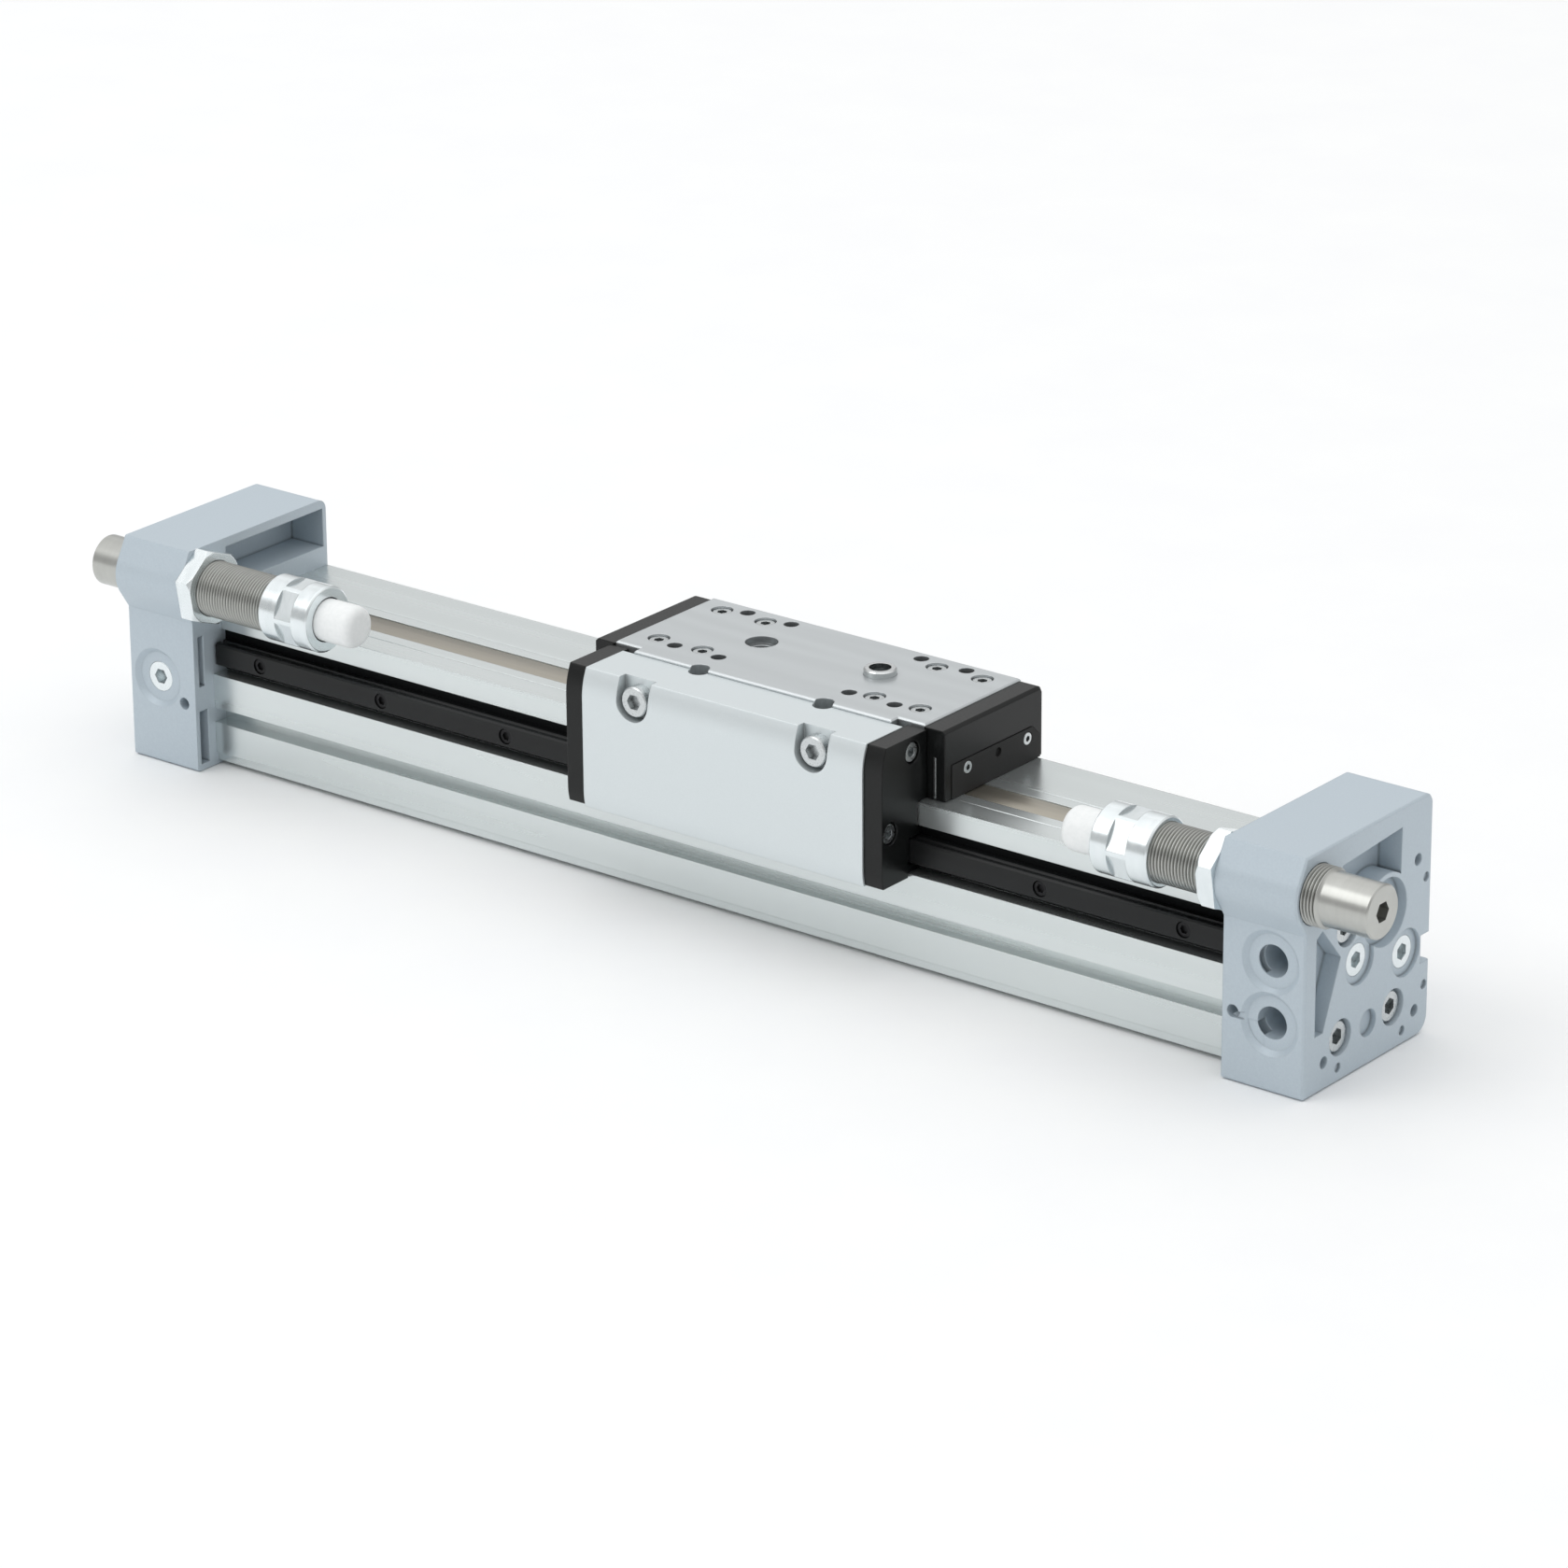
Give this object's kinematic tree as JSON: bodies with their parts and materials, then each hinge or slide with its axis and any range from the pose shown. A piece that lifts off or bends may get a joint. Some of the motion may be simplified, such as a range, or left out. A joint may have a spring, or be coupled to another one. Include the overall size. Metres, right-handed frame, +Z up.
{
  "type": "rodless pneumatic cylinder",
  "caption": "Rodless pneumatic cylinder with a slide on a side guide rail, end caps and an adjustable shock absorber at each end.",
  "frame": {"origin": "centre of the footprint on the base plane, under the bore axis, midway between the outer faces of the end caps", "axes": "+X along the stroke towards the cap with both air ports, +Y from the port side to the back, +Z up through the slide's top"},
  "size_m": [0.4302, 0.0654, 0.0682],
  "materials": {
    "profile_aluminium": "satin, natural anodised extrusion",
    "cap_coating": "light blue-grey satin coating on a casting",
    "screw_zinc": "zinc-plated steel screw",
    "bright_zinc": "bright zinc plating",
    "black_screw": "blackened steel screw",
    "rail_steel": "dark coated guide rail steel",
    "band_steel": "stainless spring steel band",
    "clamp_aluminium": "machined aluminium",
    "seal_rubber": "black seal rubber",
    "absorber_nickel": "nickel-plated steel",
    "plunger_steel": "ground steel",
    "spring_steel": "spring wire",
    "buffer_plastic": "white polyamide buffer",
    "plate_aluminium": "satin anodised plate",
    "sleeve_steel": "ground steel sleeve",
    "carriage_steel": "ground bearing steel",
    "cover_plastic": "black moulded polyacetal",
    "piston_plastic": "polyacetal",
    "magnet": "plastic-bonded magnet"
  },
  "bodies": {
    "base": {"barrel": "profile_aluminium", "left_end_cap": "cap_coating", "right_end_cap": "cap_coating", "cap_screws": "screw_zinc", "front_port_plug": "bright_zinc", "end_face_plugs": "bright_zinc", "bore_plugs": "clamp_aluminium", "bore_seals": "seal_rubber", "guide_rail": "rail_steel", "rail_screws": "black_screw", "outer_cover_band": "band_steel", "inner_sealing_band": "band_steel", "band_clamps": "clamp_aluminium", "lock_nuts": "bright_zinc"},
    "slide": {"slide_plate": "plate_aluminium", "slide_body": "plate_aluminium", "plate_screws": "screw_zinc", "centring_sleeve": "sleeve_steel", "side_plate": "plate_aluminium", "side_plate_screws": "screw_zinc", "guide_carriage": "carriage_steel", "carriage_screws": "screw_zinc", "carriage_end_caps": "cover_plastic", "guide_balls": "plunger_steel", "right_front_cover": "cover_plastic", "left_front_cover": "cover_plastic", "front_cover_screws": "screw_zinc", "right_rear_cover": "cover_plastic", "left_rear_cover": "cover_plastic", "right_wiper": "seal_rubber", "left_wiper": "seal_rubber", "wiper_backing_plates": "sleeve_steel", "wiper_screws": "screw_zinc", "yoke": "clamp_aluminium", "yoke_screws": "screw_zinc", "band_guides": "cover_plastic", "piston_body": "clamp_aluminium", "piston_screws": "screw_zinc", "piston_heads": "piston_plastic", "piston_seals": "seal_rubber", "piston_wear_rings": "piston_plastic", "piston_magnets": "magnet"},
    "left_absorber": {"left_absorber_housing": "absorber_nickel", "left_absorber_gland": "absorber_nickel", "left_stop_sleeve": "bright_zinc", "left_return_spring": "spring_steel"},
    "right_absorber": {"right_absorber_housing": "absorber_nickel", "right_absorber_gland": "absorber_nickel", "right_stop_sleeve": "bright_zinc", "right_return_spring": "spring_steel"},
    "left_stop": {"left_plunger": "plunger_steel", "left_buffer": "buffer_plastic"},
    "right_stop": {"right_plunger": "plunger_steel", "right_buffer": "buffer_plastic"}
  },
  "joints": [
    {"name": "slide_travel", "type": "slide", "parent": "base", "child": "slide", "axis": [1, 0, 0], "range_m": [-0.0804, 0.0538], "deforming": ["outer_cover_band", "inner_sealing_band"]},
    {"name": "left_absorber_setting", "type": "slide", "parent": "base", "child": "left_absorber", "axis": [-1, 0, 0], "range_m": [0, 0.015]},
    {"name": "right_absorber_setting", "type": "slide", "parent": "base", "child": "right_absorber", "axis": [1, 0, 0], "range_m": [0, 0.015]},
    {"name": "left_stop_stroke", "type": "slide", "parent": "left_absorber", "child": "left_stop", "axis": [-1, 0, 0], "range_m": [0, 0.012], "stiffness_N_per_m": 400, "springref_m": -0.004, "deforming": ["left_return_spring"]},
    {"name": "right_stop_stroke", "type": "slide", "parent": "right_absorber", "child": "right_stop", "axis": [1, 0, 0], "range_m": [0, 0.012], "stiffness_N_per_m": 400, "springref_m": -0.004, "deforming": ["right_return_spring"]}
  ]
}
